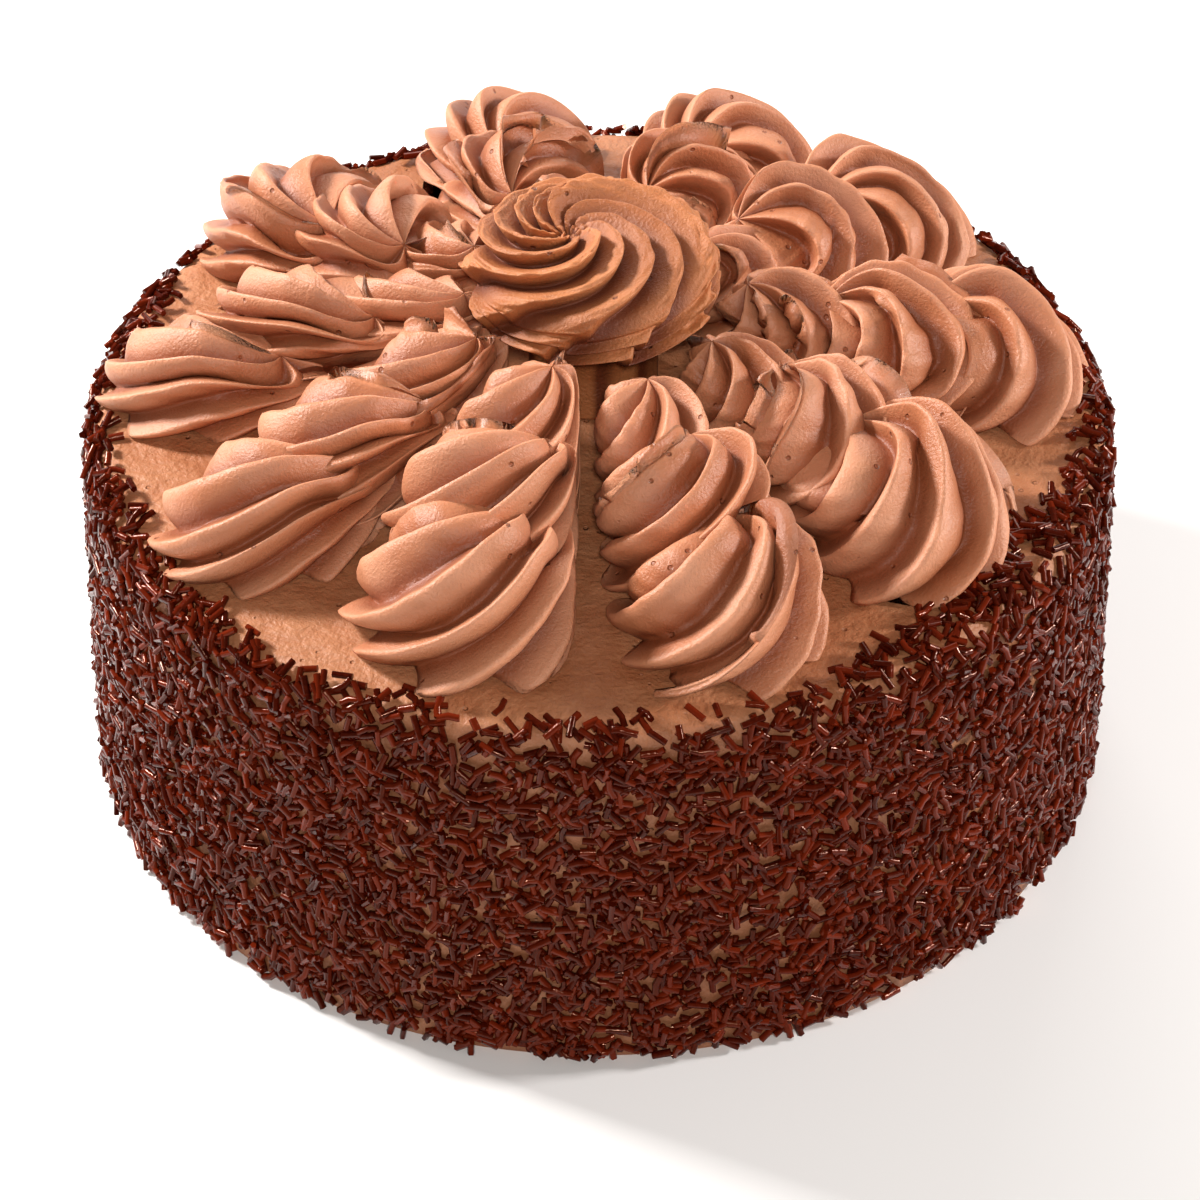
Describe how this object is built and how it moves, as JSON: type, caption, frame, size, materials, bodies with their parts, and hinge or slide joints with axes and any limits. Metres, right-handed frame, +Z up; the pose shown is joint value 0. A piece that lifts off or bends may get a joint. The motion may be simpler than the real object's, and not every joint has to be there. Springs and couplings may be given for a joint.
{
  "type": "layer cake",
  "caption": "Round iced layer cake with chocolate sprinkles round its side, rows of piped cream swirls on top and a piped rosette at the centre.",
  "frame": {"origin": "centre of the cake's flat underside, on the floor", "axes": "+Z up through the middle of the cake, -Y towards the front of the picture, +X to its right"},
  "size_m": [0.2054, 0.2061, 0.1144],
  "materials": {
    "iced_side": "brown icing under glossy dark chocolate sprinkles",
    "cream": "soft satin milk chocolate cream",
    "rosette_cream": "soft satin caramel brown cream"
  },
  "bodies": {
    "root": {"cake": "iced_side", "petal_01": "cream", "petal_02": "cream", "petal_03": "cream", "petal_04": "cream", "petal_05": "cream", "petal_06": "cream", "petal_07": "cream", "petal_08": "cream", "petal_09": "cream", "petal_10": "cream", "rosette": "rosette_cream"}
  },
  "joints": []
}
